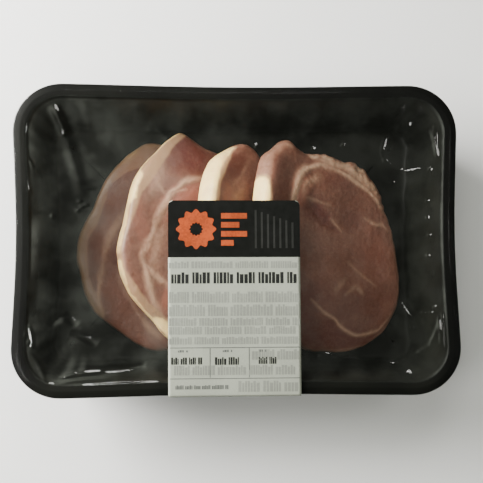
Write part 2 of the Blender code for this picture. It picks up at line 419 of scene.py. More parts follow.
@dataclass(frozen=True)
class FilmFinish:
    """Clear film: see-through, with a thin mirror that grows at flat angles."""

    straight: float = 0.085
    smudge: float = 0.42
    bonded: float = 0.03
    grazing: float = 0.55
    power: float = 3.5
    roughness: float = 0.075
    tint: tuple[float, float, float] = (0.975, 0.98, 0.975)
    crinkle: float = 0.00002

    def build(self) -> bpy.types.Material:
        """Makes the material: Transparent and Glossy, mixed by how flat the view is and by the bond below."""
        g = Graph("clear_film")
        normal = g.bump(g.noise(160.0, 3.0), self.crinkle)
        facing = g.add("ShaderNodeLayerWeight", Normal=normal).outputs["Facing"]
        rise = g.math("MULTIPLY", g.math("POWER", facing, self.power), self.grazing)
        kept = g.ramp(g.share("bond"), 0.0, 1.0, 1.0, self.bonded)
        cloud = g.ramp(g.noise(60.0, 3.0), 0.35, 0.65, 1.0 - self.smudge, 1.0 + self.smudge)
        straight = g.math("MULTIPLY", cloud, self.straight)
        factor = g.math("MULTIPLY", g.math("ADD", rise, straight), kept)
        clear = g.add("ShaderNodeBsdfTransparent", Color=self.tint)
        mirror = g.add("ShaderNodeBsdfGlossy", Color=(1.0, 1.0, 1.0), Roughness=self.roughness, Normal=normal)
        mix = g.add("ShaderNodeMixShader", Fac=factor)
        g.feed(mix.inputs[1], clear.outputs[0])
        g.feed(mix.inputs[2], mirror.outputs[0])
        return g.finish(mix.outputs[0])


@dataclass(frozen=True)
class MeatFinish:
    """Raw chop: lean with a fine grain, ivory rim fat, pale sinew, darker and blushed parts with some painted shade and
    painted light, a moist sheen, and painted shade by each chop's light level.
    """

    lean_low: tuple[float, float, float] = (0.185, 0.072, 0.045)
    lean_high: tuple[float, float, float] = (0.255, 0.108, 0.071)
    # colour of darker meat, also used for painted shade
    deep_and_shade: tuple[float, float, float] = (0.118, 0.025, 0.015)
    # colour of blushed meat, also used for painted light
    blush_and_light: tuple[float, float, float] = (0.420, 0.135, 0.085)
    sinew: tuple[float, float, float] = (0.760, 0.480, 0.310)
    fat_inner: tuple[float, float, float] = (0.480, 0.285, 0.150)
    fat_low: tuple[float, float, float] = (0.830, 0.570, 0.250)
    fat_high: tuple[float, float, float] = (1.000, 0.710, 0.280)

    def build(self) -> bpy.types.Material:
        """Makes the material from the shares that the chop's mesh carries."""
        g = Graph("raw_meat")
        blotch = g.noise(70.0, 3.0, 0.6)
        grain = g.noise(520.0, 3.0, 0.6)
        even = g.math("ADD", g.math("MULTIPLY", blotch, 0.65), g.math("MULTIPLY", grain, 0.35))
        lean = g.mix(g.ramp(even, 0.38, 0.62), self.lean_low, self.lean_high)
        lean = g.mix(g.share(Mask.DEEP_AND_SHADE.value), lean, self.deep_and_shade)
        lean = g.mix(g.share(Mask.BLUSH_AND_LIGHT.value), lean, self.blush_and_light)
        vein = g.ramp(g.math("ABSOLUTE", g.math("SUBTRACT", g.noise(120.0, 4.0, 0.65), 0.5)), 0.0, 0.04, 0.04, 0.0)
        lean = g.mix(vein, lean, self.sinew)
        sinew = g.math("MULTIPLY", g.share(Mask.SINEW.value), g.ramp(grain, 0.25, 0.6, 0.75, 1.0))
        flesh = g.mix(sinew, lean, self.sinew)
        fat = g.mix(g.ramp(g.noise(110.0, 3.0, 0.6), 0.3, 0.62), self.fat_low, self.fat_high)
        share = g.share(Mask.FAT.value)
        inner = g.mix(g.ramp(share, 0.0, 0.55), flesh, self.fat_inner)
        # painted shade: each chop's light level darkens its flesh and inner fat towards a near black
        inner = g.mix(g.share("painted_light_level"), (0.030, 0.007, 0.004), inner)
        colour = g.mix(g.ramp(share, 0.55, 0.95), inner, fat)
        rough = g.ramp(grain, 0.3, 0.7, 0.36, 0.5)
        normal = g.bump(g.math("ADD", grain, g.math("MULTIPLY", blotch, 2.0)), 0.00018)
        shader = g.add("ShaderNodeBsdfPrincipled", Base_Color=colour, Roughness=rough, Normal=normal,
                       Specular_IOR_Level=0.32, Subsurface_Weight=0.18, Subsurface_Scale=0.0022)
        shader.inputs["Subsurface Radius"].default_value = (1.0, 0.45, 0.3)
        return g.finish(shader.outputs[0])


@dataclass(frozen=True)
class PrintFinish:
    """Paper or ink: a colour with a faint fibre mottle and a soft sheen."""

    name: str
    colour: tuple[float, float, float]
    mottle: float = 0.06
    roughness: float = 0.48
    gloss: float = 0.4

    def build(self) -> bpy.types.Material:
        """Makes the material."""
        g = Graph(self.name)
        low = tuple(c * (1.0 - self.mottle) for c in self.colour)
        high = tuple(c * (1.0 + self.mottle) for c in self.colour)
        cloud = g.math("ADD", g.math("MULTIPLY", g.noise(45.0, 2.0), 0.6), g.math("MULTIPLY", g.noise(900.0), 0.4))
        colour = g.mix(g.ramp(cloud, 0.38, 0.62), low, high)
        rough = g.ramp(g.noise(300.0), 0.3, 0.7, self.roughness - 0.05, self.roughness + 0.06)
        normal = g.bump(g.noise(1600.0), 0.00002)
        shader = g.add("ShaderNodeBsdfPrincipled", Base_Color=colour, Roughness=rough, Normal=normal,
                       Specular_IOR_Level=self.gloss)
        return g.finish(shader.outputs[0])


# ---------------------------------------------------------------- tray


@dataclass
class Tray:
    """The tray: one closed shell from the floor up its fluted wall, over the flange and back down outside."""

    length: float = 235.0 * MM
    width: float = 164.0 * MM
    corner_radius: float = 26.5 * MM
    end_bow: float = 2.6 * MM
    side_bow: float = 1.6 * MM
    flutes_long: int = 10
    flutes_short: int = 6
    flutes_corner: int = 2
    flute_steps: int = 16
    flute_depth: float = 1.3 * MM
    flange: float = 6.6 * MM
    lug_height: float = 36.0 * MM
    lug_size: float = 1.7 * MM
    lug_depth: float = 1.0 * MM
    # (inset from the outer edge, height, share of the flute depth) in mm
    upper_skin: tuple = (
        (60.0, 1.2, 0.0), (22.0, 1.2, 0.0), (18.6, 1.3, 0.1), (16.4, 2.8, 0.5), (14.8, 8.0, 1.0), (13.4, 14.0, 1.0),
        (10.8, 31.0, 1.0), (9.6, 37.5, 1.0), (8.4, 43.6, 0.4), (7.7, 46.4, 0.0), (7.3, 47.6, 0.0), (6.6, 48.0, 0.0),
        (5.2, 48.0, 0.0), (3.8, 48.0, 0.0), (3.2, 47.9, 0.0), (0.9, 47.4, 0.0), (0.3, 47.1, 0.0), (0.0, 46.5, 0.0),
    )
    under_skin: tuple = (
        (0.0, 44.4, 0.0), (0.7, 44.4, 0.0), (1.0, 46.6, 0.0), (1.9, 47.1, 0.0), (5.9, 47.1, 0.0), (7.2, 45.0, 0.3),
        (10.0, 30.8, 1.0), (12.6, 13.8, 1.0), (15.2, 2.2, 0.5), (16.6, 0.3, 0.1), (18.6, 0.0, 0.0), (60.0, 0.0, 0.0),
    )

    def plan(self, inset: float, flute: float, steps: int) -> np.ndarray:
        """One closed ring in plan, anticlockwise: straight runs and quarter circles, fluted and bowed inwards.

        Args:
            inset: Distance inwards from the outer edge.
            flute: Depth of the flutes, a raised cosine along the ring.
            steps: Points on each flute.

        Returns:
            The ring's (x, y) points.
        """
        flat_x = self.length / 2.0 - self.corner_radius
        flat_y = self.width / 2.0 - self.corner_radius
        radius = max(self.corner_radius - inset, 0.0)
        half_x = self.length / 2.0 - inset
        half_y = self.width / 2.0 - inset
        corner_x = half_x - radius
        corner_y = half_y - radius
        runs = (
            ((half_x, -corner_y), (half_x, corner_y), self.flutes_short),
            ((corner_x, half_y), (-corner_x, half_y), self.flutes_long),
            ((-half_x, corner_y), (-half_x, -corner_y), self.flutes_short),
            ((-corner_x, -half_y), (corner_x, -half_y), self.flutes_long),
        )
        hubs = ((corner_x, corner_y), (-corner_x, corner_y), (-corner_x, -corner_y), (corner_x, -corner_y))
        points = []
        outward = []
        for side, (start, end, flutes) in enumerate(runs):
            f = np.arange(flutes * steps)[:, None] / (flutes * steps)
            points.append(np.array(start) + (np.array(end) - np.array(start)) * f)
            heading = np.full(flutes * steps, 0.5 * math.pi * side)
            turn = 0.5 * math.pi * (side + np.arange(self.flutes_corner * steps) / (self.flutes_corner * steps))
            points.append(np.array(hubs[side]) + radius * np.column_stack([np.cos(turn), np.sin(turn)]))
            outward.extend([heading, turn])
        ring = np.vstack(points)
        heading = np.concatenate(outward)
        out = np.column_stack([np.cos(heading), np.sin(heading)])
        wave = 0.5 - 0.5 * np.cos(2.0 * math.pi * np.arange(len(ring)) / steps)
        ring = ring - out * (flute * wave)[:, None]
        share_x = np.cos(0.5 * math.pi * np.clip(ring[:, 1] / (self.width / 2.0), -1.0, 1.0)) ** 2
        share_y = np.cos(0.5 * math.pi * np.clip(ring[:, 0] / (self.length / 2.0), -1.0, 1.0)) ** 2
        ring[:, 0] -= self.end_bow * share_x * out[:, 0]
        ring[:, 1] -= self.side_bow * share_y * out[:, 1]
        return ring

    def inside(self, x: np.ndarray, y: np.ndarray) -> np.ndarray:
        """Distance inwards from the bowed outer edge at each place in plan."""
        share_x = np.cos(0.5 * math.pi * np.clip(y / (self.width / 2.0), -1.0, 1.0)) ** 2
        share_y = np.cos(0.5 * math.pi * np.clip(x / (self.length / 2.0), -1.0, 1.0)) ** 2
        qx = np.abs(x) - (self.length / 2.0 - self.end_bow * share_x - self.corner_radius)
        qy = np.abs(y) - (self.width / 2.0 - self.side_bow * share_y - self.corner_radius)
        outer = np.hypot(np.maximum(qx, 0.0), np.maximum(qy, 0.0))
        return self.corner_radius - outer - np.minimum(np.maximum(qx, qy), 0.0)

    @staticmethod
    def flange_drop(inset: np.ndarray) -> np.ndarray:
        """How far the flange's outer band lies below its flat inner band, by distance from the outer edge."""
        return np.interp(inset, np.array([0.0, 0.3, 0.9, 3.2, 3.8]) * MM, np.array([1.5, 0.9, 0.6, 0.1, 0.0]) * MM)

    def rim_shade_share(self, rows: np.ndarray, points: np.ndarray, count: int) -> np.ndarray:
        """Painted shade on the flange, as a share: full at both ends and at the back, less along the front and at the
        back left corner, where light is painted.

        Args:
            rows: The profile's rows.
            points: The points of all rings.
            count: Points in a ring.

        Returns:
            A share for each point.
        """
        band = np.where(rows[:, 1] > 45.0, ease((8.2 - rows[:, 0]) / 1.0), 0.0)
        x = points[:, 0] / (self.length / 2.0)
        y = points[:, 1] / (self.width / 2.0)
        # the painted shade is full at both ends
        ends = ease((np.abs(x) - 0.82) / 0.14)
        # painted light: the flange's painted shade is lifted along the front, and a little at the back
        painted_light = np.clip(1.0 - ends, 0.0, 1.0) * np.where(y > 0.0, 0.02, 0.72)
        # painted light at the back left corner of the flange
        corner = 0.45 * ease((y + 0.5 - x) / 0.5 - 2.4)
        return np.repeat(band, count) * np.clip(1.0 - painted_light - corner, 0.0, 1.0)

    def profile(self) -> np.ndarray:
        """The skin's profile, its corners cut twice so that they round off."""
        rows = np.array(self.upper_skin + self.under_skin)
        for _ in range(2):
            inner = np.stack([0.75 * rows[:-1] + 0.25 * rows[1:], 0.25 * rows[:-1] + 0.75 * rows[1:]], axis=1)
            rows = np.vstack([rows[:1], inner.reshape(-1, 3), rows[-1:]])
        return rows

    def lugs(self, points: np.ndarray) -> np.ndarray:
        """Moves points of the end walls inwards into small round lugs, one in each groove between two flutes."""
        pitch = (self.width - 2.0 * self.corner_radius) / self.flutes_short
        off = (points[:, 1] + 0.5 * pitch) % pitch - 0.5 * pitch
        reach = np.hypot(off, points[:, 2] - self.lug_height) / self.lug_size
        end = np.abs(points[:, 0]) > self.length / 2.0 - 16.0 * MM
        near = np.abs(points[:, 1]) < 2.5 * pitch
        push = np.where(end & near, np.exp(-reach ** 4), 0.0) * self.lug_depth
        points[:, 0] -= np.sign(points[:, 0]) * push
        return points

    def build(self, finish: TrayFinish) -> bpy.types.Object:
        """Carries the profile along the ring and closes the floor above and below.

        Args:
            finish: The plastic's finish.

        Returns:
            The tray.
        """
        rings = []
        rows = self.profile()
        for inset, height, share in rows:
            plan = self.plan(inset * MM, self.flute_depth * share, self.flute_steps)
            rings.append(np.column_stack([plan, np.full(len(plan), height * MM)]))
        count = len(rings[0])
        points = self.lugs(np.vstack(rings))
        low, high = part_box("tray")
        for axis in range(3):
            points[:, axis] *= (high[axis] - low[axis]) / np.ptp(points[:, axis])
        points += np.array((low + high) / 2.0) - 0.5 * (points.min(axis=0) + points.max(axis=0))
        quads = grid_faces(len(rings), count, True)
        top_ring = np.arange(count)
        low_ring = (len(rings) - 1) * count + np.arange(count)
        hub_top = len(points)
        hubs = np.array([points[top_ring].mean(axis=0), points[low_ring].mean(axis=0)])
        triangles = np.vstack([fan_faces(hub_top, top_ring, False), fan_faces(hub_top + 1, low_ring, True)])
        piece = Piece("tray_shell", Slot.TRAY, finish.build(), ("tray",))
        ob = piece.make(np.vstack([points, hubs]), quads, triangles)
        # the share of painted shade on the flange, stored for the finish
        add_share(ob, "rim", np.concatenate([self.rim_shade_share(rows, points, count), np.zeros(2)]))
        return ob


# ---------------------------------------------------------------- film


@dataclass(frozen=True)
class Crease:
    """A crease of the film, in mm: from start to end with a sideways bow, its half width and its height.

    A crease with a height below zero is a groove.
    """

    start: tuple[float, float]
    end: tuple[float, float]
    bow: float
    width: float
    height: float

    def route(self, steps: int = 12) -> np.ndarray:
        """The crease's middle line in metres: straight, moved to the left by a parabola."""
        t = np.linspace(0.0, 1.0, steps + 1)[:, None]
        start = np.array(self.start)
        along = np.array(self.end) - start
        left = np.array([-along[1], along[0]]) / np.hypot(*along)
        return (start + along * t + left * self.bow * 4.0 * t * (1.0 - t)) * MM


@dataclass
class Film:
    """The lid film: a thin sheet over the rim, with dips inside the flange, slow waves and creases."""

    rings: int = 106
    steps_per_flute: int = 21
    edge_crowding: float = 1.7
    lift: float = 0.12 * MM
    dip: float = 0.35 * MM
    dip_run: float = 1.5 * MM
    sag: float = 1.1 * MM
    sag_run: float = 26.0 * MM
    wave: float = 0.34 * MM
    wave_cell: float = 27.0 * MM
    ripple: float = 0.025 * MM
    ripple_cell: float = 8.0 * MM
    gather: float = 0.10 * MM
    gather_count: int = 26
    skirt: float = 2.6 * MM
    # the part held up by the label and the chops' ridges: low x, high x, low y, high y, in mm
    held: tuple = (-38.0, 36.0, -90.0, 54.0)
    held_edge: float = 26.0 * MM
    creases: tuple = (
        # back left: a bright streak that widens and fades towards the meat
        Crease((-96, 70), (-89, 54), 0.0, 2.0, 0.72),
        Crease((-92, 60), (-81, 22), 1.0, 3.0, 0.34),
        # left edge
        Crease((-111, 52), (-107, 23), -2.0, 0.7, 0.30),
        Crease((-109, 43), (-106, 37), 0.0, 0.5, 0.22),
        Crease((-110, 67), (-111, 51), 0.0, 0.6, 0.20),
        Crease((-108, -44), (-106, -56), 1.0, 0.6, 0.28),
        Crease((-109, -57), (-99, -75), 2.0, 0.9, 0.13),
        # front left: pleats along the rim, and dents behind them
        Crease((-92, -71), (-69, -68), 0.5, 1.0, 0.40),
        Crease((-98, -75), (-65, -72), 1.0, 1.1, 0.35),
        Crease((-84, -76), (-39, -74), 0.5, 0.9, 0.32),
        Crease((-78, -67), (-48, -65), -1.0, 1.4, -0.40),
        Crease((-86, -48), (-73, -54), 0.5, 1.5, -0.45),
        Crease((-97, -44), (-90, -39), 0.0, 1.7, -0.35),
        Crease((-90, -39), (-83, -44), 0.0, 1.7, -0.35),
        Crease((-80, 27), (-74, 27), 0.0, 0.5, 0.20),
        # front right
        Crease((36, -63), (84, -66), 1.5, 1.2, 0.40),
        Crease((36, -68), (90, -70), -1.0, 1.1, 0.36),
        Crease((36, -72), (98, -74), -0.5, 1.0, 0.30),
        Crease((41, -61), (54, -62), 1.0, 0.9, 0.30),
        Crease((105, -41), (106, -56), 0.0, 0.7, 0.45),
        Crease((107, -39), (107, -58), 0.0, 0.6, 0.35),
        Crease((105, -44), (100, -56), 0.5, 0.7, 0.32),
        Crease((108, -56), (87, -69), -4.0, 1.2, 0.20),
        Crease((86, -30), (97, -44), -1.5, 1.6, -0.22),
        # back right: an open ring of fine lines
        Crease((80, 56), (86, 35), -6.0, 0.7, 0.25),
        Crease((86, 35), (99, 37), 0.0, 0.6, 0.25),
        Crease((105, 61), (106, 43), -0.5, 0.7, 0.35),
        Crease((103, 59), (105, 49), 0.0, 0.6, 0.30),
        # short pleats on the back flange
        Crease((-83, 77), (-83, 81), 0.0, 0.5, 0.20),
        Crease((-74, 77), (-74, 81), 0.0, 0.6, 0.28),
        Crease((-69, 77), (-69, 81), 0.0, 0.5, 0.24),
        Crease((-55, 77), (-55, 81), 0.0, 0.5, 0.24),
    )
    # small points that stand up in the film: (x, y) in mm
    specks: tuple = (
        (86, 37), (102, 37), (91, 61), (82, 30), (56, 50), (40, 48), (10, 49), (103, -36), (101, -39), (97, -39),
        (95, -60), (91, -47), (-109, -49), (-108, -53), (-82, 20), (-81, 17), (-83, 15), (-79, 18),
        (100, 20), (100, 11), (101, 2), (100, -9), (-96, 12),
    )
    speck_size: float = 0.75
    speck_height: float = 0.40

    def height(self, x: np.ndarray, y: np.ndarray, tray: Tray) -> np.ndarray:
        """The film's height over the rim's top at each place: dip, sag, waves, gathers, creases and specks.

        Args:
            x: First coordinate in plan.
            y: Second coordinate in plan.
            tray: The tray under the film.

        Returns:
            The height, in metres.
        """
        inset = tray.inside(x, y)
        free = inset - tray.flange
        low_x, high_x, low_y, high_y = (value * MM for value in self.held)
        outside = np.maximum(np.maximum(low_x - x, x - high_x), np.maximum(low_y - y, y - high_y))
        loose = ease(outside / self.held_edge + 0.5)
        inner = ease(free / self.dip_run)
        rise = -self.dip * inner * loose - self.sag * ease(free / self.sag_run) * loose - tray.flange_drop(inset)
        slack = ease(free / (4.0 * self.dip_run)) * (0.25 + 0.75 * loose)
        rise = rise + self.wave * layered_noise(x, y, self.wave_cell, 11, 2) * slack
        rise = rise + self.ripple * layered_noise(x, y, self.ripple_cell, 23, 2) * slack
        rise = rise + self.gathers(x, y, free, tray) * slack
        for crease in self.creases:
            rise = rise + 1.35 * self.crease_height(crease, x, y)
        for speck_x, speck_y in self.specks:
            away = np.hypot(x - speck_x * MM, y - speck_y * MM) / (self.speck_size * MM)
            rise = rise + self.speck_height * MM * np.exp(-away ** 2)
        return rise

    def gathers(self, x: np.ndarray, y: np.ndarray, free: np.ndarray, tray: Tray) -> np.ndarray:
        """Fine pleats that fan out of each corner and fade inwards: a cosine of the turn about the corner."""
        hub_x = tray.length / 2.0 - 1.6 * tray.corner_radius
        hub_y = tray.width / 2.0 - 1.6 * tray.corner_radius
        dx = np.abs(x) - hub_x
        dy = np.abs(y) - hub_y
        turn = np.arctan2(dy, dx)
        corner = ease(dx / (9.0 * MM)) * ease(dy / (9.0 * MM))
        fade = np.exp(-((free - 6.0 * MM) / (8.0 * MM)) ** 2)
        uneven = 0.6 + 0.4 * lattice_noise(x, y, 9.0 * MM, 41)
        return self.gather * np.cos(self.gather_count * turn) * corner * fade * uneven

    @staticmethod
    def crease_height(crease: Crease, x: np.ndarray, y: np.ndarray) -> np.ndarray:
        """A bell-shaped ridge along the crease's route that runs out at both ends."""
        line = crease.route()
        near = np.nonzero(
            (x > line[:, 0].min() - 5.0 * crease.width * MM) & (x < line[:, 0].max() + 5.0 * crease.width * MM)
            & (y > line[:, 1].min() - 5.0 * crease.width * MM) & (y < line[:, 1].max() + 5.0 * crease.width * MM)
        )
        rise = np.zeros(x.shape)
        away, share = distance_to(line, x[near], y[near])
        taper = np.sqrt(np.sin(math.pi * np.clip(share, 0.0, 1.0)))
        rise[near] = crease.height * MM * taper * np.exp(-(away / (crease.width * MM)) ** 2)
        return rise

    def build(self, tray: Tray, finish: FilmFinish) -> bpy.types.Object:
        """Lays the sheet as rings from the middle to the rim, then turns its edge down outside.

        Args:
            tray: The tray under the film.
            finish: The film's finish.

        Returns:
            The film.
        """
        rim = tray.plan(0.0, 0.0, self.steps_per_flute)
        count = len(rim)
        share = 1.0 - (1.0 - np.linspace(0.0, 1.0, self.rings + 1)[1:]) ** self.edge_crowding
        x = share[:, None] * rim[:, 0]
        y = share[:, None] * rim[:, 1]
        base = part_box("tray")[1].z + self.lift
        z = base + self.height(x, y, tray)
        rings = [np.stack([x, y, z], axis=-1)]
        for out, down in ((0.22, 0.12), (0.40, 0.5), (0.45, 1.1), (0.45, 1.9), (0.40, self.skirt / MM)):
            edge = tray.plan(-out * MM, 0.0, self.steps_per_flute)
            flutter = 0.12 * MM * layered_noise(edge[:, 0], edge[:, 1], 5.0 * MM, 77, 2) * (down * MM / self.skirt)
            level = base - float(tray.flange_drop(np.zeros(1))[0]) - down * MM + flutter
            rings.append(np.column_stack([edge, level])[None])
        points = np.vstack(rings).reshape(-1, 3)
        rows = len(points) // count
        quads = grid_faces(rows, count, True)
        hub = np.array([[0.0, 0.0, base + float(self.height(np.zeros(1), np.zeros(1), tray)[0])]])
        triangles = fan_faces(len(points), np.arange(count), False)
        piece = Piece("lid_film", Slot.FILM, finish.build(), ("film",))
        ob = piece.make(np.vstack([points, hub]), quads, triangles)
        inset = tray.inside(points[:, 0], points[:, 1])
        add_share(ob, "bond", np.concatenate([ease((tray.flange - inset) / (0.5 * MM) + 0.5), [0.0]]))
        return ob


# ---------------------------------------------------------------- chops


@dataclass(frozen=True)
class Seam:
    """A line of sinew or fat on a chop's face: its route on the flat chop, half width, strength and height."""

    route: tuple
    width: float = 1.3
    strength: float = 0.8
    height: float = 0.15


@dataclass(frozen=True)
class Patch:
    """A soft oval part of a chop's face: its centre, half sizes, turn in degrees, strength and height."""

    mask: Mask
    centre: tuple[float, float]
    size: tuple[float, float]
    turn: float = 0.0
    strength: float = 0.7
    height: float = 0.0


@dataclass
class Chop:
    """A chop: a flat outline of (across, along) sizes in mm from its fat rim, bent along X over the one before."""

    name: str
    rim_x: float
    rim_z: float
    leans: tuple
    thick: tuple
    outline: tuple
    rim_line: tuple
    back_swell: float = 0.0
    seams: tuple = ()
    patches: tuple = ()
    # painted shade: below 1 the chop's flesh is darkened as if less lit
    painted_light_level: float = 1.0
    # share of ivory in the rim fat: partly the fat's own tan, partly painted shade on a shaded rim
    rim_fat_and_shade: float = 1.0
    rim_edge: float = 2.6
    ragged: float = 0.25
    fringe: tuple = (0.0, 0.0, 0.0)
    edge_pale: float = 0.35
    seed: int = 5
    hub: float = 44.0 * MM
    around: int = 440
    rows_top: int = 112
    rows_under: int = 24
    edge_power: float = 18.0
    edge_round: float = 3.0
    droop_start: float = 26.0 * MM
    droop_end: float = 62.0 * MM
    droop_share: float = 0.2
    floor: float = 1.2 * MM
    lean_pitch: float = 10.0 * MM
    profile_step: float = 0.25 * MM
    profile_blend: int = 25
    clearance: float = 0.22 * MM

    def bent_profile(self) -> tuple[np.ndarray, np.ndarray, np.ndarray, np.ndarray]:
        """The chop's middle line: distance from the rim, x, z and lean, summed up from the leans."""
        across = np.arange(-4.0 * MM, 96.0 * MM, self.profile_step)
        lean = np.radians(np.interp(across, self.lean_pitch * np.arange(len(self.leans)), self.leans))
        pad = self.profile_blend // 2
        kernel = np.ones(self.profile_blend) / self.profile_blend
        lean = np.convolve(np.pad(lean, pad, mode="edge"), kernel, mode="valid")
        middle = 0.5 * (lean[1:] + lean[:-1])
        x = np.concatenate([[0.0], np.cumsum(np.cos(middle) * self.profile_step)])
        z = -np.concatenate([[0.0], np.cumsum(np.sin(middle) * self.profile_step)])
        x += self.rim_x * MM - np.interp(0.0, across, x)
        z += self.rim_z * MM - np.interp(0.0, across, z)
        return across, x, z, lean

    def reach(self) -> tuple[np.ndarray, np.ndarray]:
        """The outline as a distance from the hub at evenly spread turns, with a little unevenness."""
        dense = curve_through(self.outline, 12, closed=True) * MM
        turn = np.unwrap(np.arctan2(dense[:, 1], dense[:, 0] - self.hub))
        radius = np.hypot(dense[:, 1], dense[:, 0] - self.hub)
        if turn[-1] < turn[0]:
            turn = turn[::-1]
            radius = radius[::-1]
        wanted = np.linspace(0.0, 2.0 * math.pi, self.around, endpoint=False)
        reach = np.interp(wanted, turn, radius, period=2.0 * math.pi)
        x = reach * np.cos(wanted)
        y = reach * np.sin(wanted)
        reach = reach + self.ragged * MM * layered_noise(x, y, 9.0 * MM, self.seed, 3)
        lumps = np.abs(lattice_noise(x, y, 7.0 * MM, self.seed + 9)) + 0.5 * lattice_noise(x, y, 2.6 * MM, 3)
        reach = reach + self.fringe[2] * MM * self.window(self.hub + x, y) * (lumps - 0.35)
        return wanted, reach

    def half_depth(self, across: np.ndarray, along: np.ndarray, width: float) -> np.ndarray:
        """Half the full thickness at a place, from the thickness at five stations across the chop."""
        rim, middle, end = (value * MM for value in self.thick)
        stations = np.array([0.0, 0.18, 0.5, 0.8, 1.0]) * width
        depths = np.array([rim, rim, middle, 0.55 * middle + 0.45 * end, end])
        swell = 1.0 + self.back_swell * np.clip(along / self.droop_end, 0.0, 1.0)
        return 0.5 * np.interp(across, stations, depths) * swell

    def edge_rows(self) -> tuple[np.ndarray, np.ndarray]:
        """Shares of the reach and of the half depth down a row from the hub to the edge, evenly spaced along it."""
        turn = np.linspace(0.0, 0.5 * math.pi, 6000)
        fraction = np.sin(turn) ** (2.0 / self.edge_power)
        depth = np.cos(turn) ** (2.0 / self.edge_round)
        fraction[0] = 0.0
        travelled = np.concatenate([[0.0], np.cumsum(np.hypot(50.0 * np.diff(fraction), 7.0 * np.diff(depth)))])
        wanted = np.linspace(0.0, travelled[-1], self.rows_top + 1)
        inner = np.linspace(0.0, 1.0, self.rows_top + 1)
        near = np.interp(wanted, travelled, fraction)
        near[-1] = 1.0
        flat = near < fraction[1]
        near[flat] = inner[flat] * travelled[-1] / 50.0
        return near, (1.0 - near ** self.edge_power) ** (1.0 / self.edge_round)

    def bend(self, across: np.ndarray, along: np.ndarray, lift: np.ndarray) -> np.ndarray:
        """Places of the flat chop, lifted off its middle line, bent along X and let droop at both ends.

        Args:
            across: Distance from the rim.
            along: Distance along the rim.
            lift: Distance off the middle line.

        Returns:
            The points in the frame.
        """
        dist, line_x, line_z, lean = self.bent_profile()
        angle = np.interp(across, dist, lean)
        x = np.interp(across, dist, line_x) + lift * np.sin(angle)
        z = np.interp(across, dist, line_z) + lift * np.cos(angle)
        end = ease((np.abs(along) - self.droop_start) / (self.droop_end - self.droop_start))
        z = self.floor + (z - self.floor) * (1.0 - self.droop_share * end)
        return np.stack([x, along, z], axis=-1)

    def window(self, across: np.ndarray, along: np.ndarray) -> np.ndarray:
        """How much a place lies in the fringe's sector, seen from the hub."""
        middle, spread, _ = self.fringe
        turn = np.arctan2(along, across - self.hub)
        gap = (turn - math.radians(middle) + math.pi) % (2.0 * math.pi) - math.pi
        return np.exp(-(gap / math.radians(max(spread, 1.0))) ** 4)

    def shares(self, across: np.ndarray, along: np.ndarray,
               edge: np.ndarray) -> tuple[dict[Mask, np.ndarray], np.ndarray]:
        """How much fat, sinew, darker and blushed meat, painted shade and painted light show at each place of the flat
        chop, and its relief.

        Args:
            across: Distance from the rim.
            along: Distance along the rim.
            edge: Distance inwards from the outline.

        Returns:
            The share of each, by mask, and the height of the seams and patches.
        """
        wobble = 0.5 * MM * layered_noise(across, along, 6.0 * MM, self.seed + 20, 3)
        line = np.array(sorted((b, a) for a, b in self.rim_line)) * MM
        inner = np.interp(along, line[:, 0], line[:, 1]) + wobble
        rim = ease((inner - across) / (2.6 * MM) + 0.5)
        fat = rim * (0.55 + 0.45 * ease(1.3 - (edge + wobble) / (self.rim_edge * MM))) * self.rim_fat_and_shade
        sinew = self.edge_pale * ease(1.0 - (edge + wobble) / (2.2 * MM))
        ridge = np.zeros(across.shape)
        for seam in self.seams:
            route = curve_through(seam.route, 6) * MM
            away, share = distance_to(route, across + wobble * 1.2, along - wobble * 0.9)
            uneven = 0.78 + 0.35 * lattice_noise(across, along, 7.0 * MM, self.seed + 31)
            taper = np.clip(np.sin(math.pi * np.clip(share, 0.02, 0.98)), 0.0, 1.0) ** 0.35
            body = np.exp(-(away / (seam.width * MM * uneven.clip(0.4, 1.3))) ** 2.0) * taper
            sinew = np.maximum(sinew, seam.strength * body)
            ridge = ridge + seam.height * MM * body
        masks = {Mask.FAT: fat, Mask.SINEW: sinew, Mask.DEEP_AND_SHADE: np.zeros(across.shape), Mask.BLUSH_AND_LIGHT: np.zeros(across.shape)}
        for patch in self.patches:
            turn = math.radians(patch.turn)
            dx = across / MM - patch.centre[0]
            dy = along / MM - patch.centre[1]
            u = (dx * math.cos(turn) + dy * math.sin(turn)) / patch.size[0]
            v = (-dx * math.sin(turn) + dy * math.cos(turn)) / patch.size[1]
            body = ease(1.5 - np.hypot(u, v) - 0.5 * wobble / MM)
            masks[patch.mask] = np.maximum(masks[patch.mask], patch.strength * body)
            ridge = ridge + patch.height * MM * body
        return masks, ridge

    def relief(self, across: np.ndarray, along: np.ndarray, edge: np.ndarray, ridge: np.ndarray) -> np.ndarray:
        """Height of the face's swells, grain, fringe and seams, fading out towards the edge."""
        swell = 0.32 * MM * layered_noise(across, along, 15.0 * MM, self.seed + 50, 2)
        grain = 0.06 * MM * layered_noise(across, along, 2.6 * MM, self.seed + 60, 2)
        lumps = np.abs(layered_noise(across, along, 4.5 * MM, self.seed + 70, 2)) - 0.3
        frill = 0.25 * self.fringe[2] * MM * lumps * self.window(across, along) * ease(1.6 - edge / (6.0 * MM))
        fade = ease(edge / (3.0 * MM))
        return (swell + grain + ridge) * fade + frill * ease(edge / (1.2 * MM)) - self.clearance

